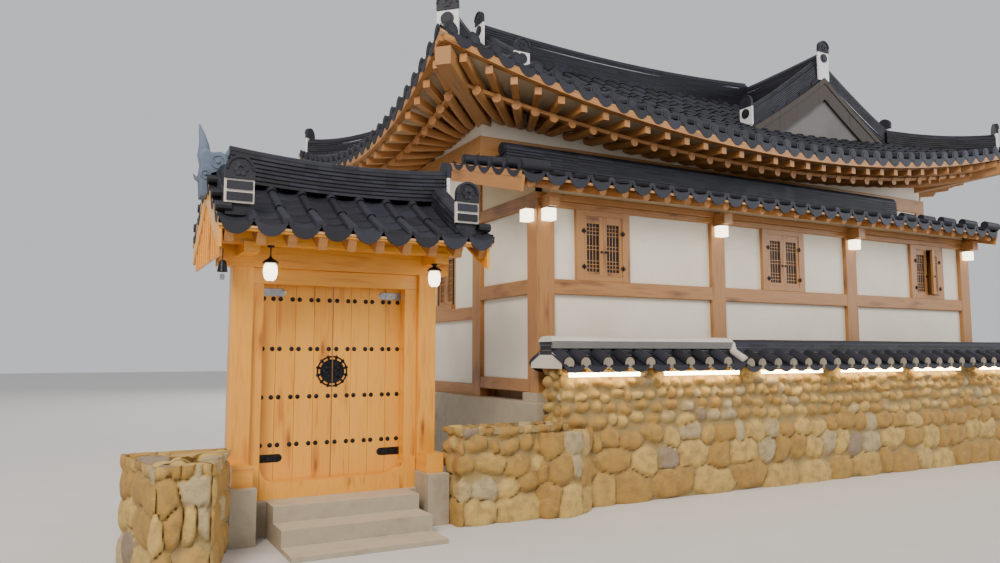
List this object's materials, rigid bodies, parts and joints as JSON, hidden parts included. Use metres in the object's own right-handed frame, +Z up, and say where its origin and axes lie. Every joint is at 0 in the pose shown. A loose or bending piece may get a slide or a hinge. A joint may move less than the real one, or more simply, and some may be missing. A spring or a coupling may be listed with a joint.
{
  "type": "hanok house",
  "caption": "Timber hanok house with a curved tiled roof, a lean-to along the street, a gatehouse with a two-leaf gate and a boulder street wall.",
  "frame": {"origin": "ground level under the middle of the whole plan", "axes": "+Z up, +X along the street towards the right of the house seen from the street, +Y away from the street"},
  "size_m": [15.1007, 11.3607, 7.5008],
  "materials": {
    "granite": "dressed beige-grey granite, weathered",
    "boulder_stone": "tan field boulders bedded in pale mortar",
    "brown_pine": "oiled brown pine, visible grain",
    "honey_pine": "varnished honey-coloured pine with knots",
    "plaster": "cream lime plaster, matte",
    "roof_tile": "fired charcoal roof tile with a slight sheen, white lime at the ridge ends",
    "gable_board": "weathered brown boards",
    "lantern_paper": "warm translucent lantern panes in a black iron cage"
  },
  "bodies": {
    "house": {"house_terrace": "granite", "house_floor": "brown_pine", "street_wall": "boulder_stone", "street_wall_coping": "roof_tile", "lean_to_frame": "brown_pine", "front_wall_1": "plaster", "front_wall_2": "plaster", "front_wall_3": "plaster", "lean_to_left_wall": "plaster", "lean_to_right_wall": "plaster", "front_window_1": "brown_pine", "front_window_2": "brown_pine", "front_window_3": "brown_pine", "lean_to_roof": "roof_tile", "lean_to_rafters": "brown_pine", "main_frame": "brown_pine", "left_wall": "plaster", "left_window": "brown_pine", "main_back_wall": "plaster", "courtyard_doors": "brown_pine", "wing_left_wall": "plaster", "wing_back_wall": "plaster", "right_wall": "plaster", "street_end_wall": "plaster", "roof_front": "roof_tile", "roof_left": "roof_tile", "roof_right": "roof_tile", "roof_main_back": "roof_tile", "roof_wing_left": "roof_tile", "roof_wing_back": "roof_tile", "roof_ridge": "roof_tile", "ridge_left_front": "roof_tile", "ridge_left_back": "roof_tile", "ridge_street_right": "roof_tile", "ridge_wing_back_left": "roof_tile", "ridge_wing_back_right": "roof_tile", "gable_left": "gable_board", "gable_street": "gable_board", "gable_back": "gable_board", "rafters_front": "brown_pine", "rafters_left": "brown_pine", "rafters_right": "brown_pine", "rafters_main_back": "brown_pine", "rafters_wing_left": "brown_pine", "rafters_wing_back": "brown_pine", "gate_base": "granite", "gate_steps": "granite", "gate_side_wall": "boulder_stone", "gate_post_left": "honey_pine", "gate_post_right": "honey_pine", "gate_frame": "honey_pine", "gate_roof_front": "roof_tile", "gate_roof_back": "roof_tile", "gate_ridge": "roof_tile", "gate_roof_frame": "honey_pine", "gate_ridge_ornament": "roof_tile", "lantern_left": "lantern_paper", "lantern_right": "lantern_paper"},
    "gate_leaf_left": {"gate_door_left": "honey_pine"},
    "gate_leaf_right": {"gate_door_right": "honey_pine"}
  },
  "joints": [
    {"name": "left_leaf_swing", "type": "hinge", "parent": "house", "child": "gate_leaf_left", "pos_m": [-6.409, -4.206, 0.62], "axis": [0, 0, 1], "range_deg": [0, 90]},
    {"name": "right_leaf_swing", "type": "hinge", "parent": "house", "child": "gate_leaf_right", "pos_m": [-4.891, -4.206, 0.62], "axis": [0, 0, -1], "range_deg": [0, 90]}
  ]
}
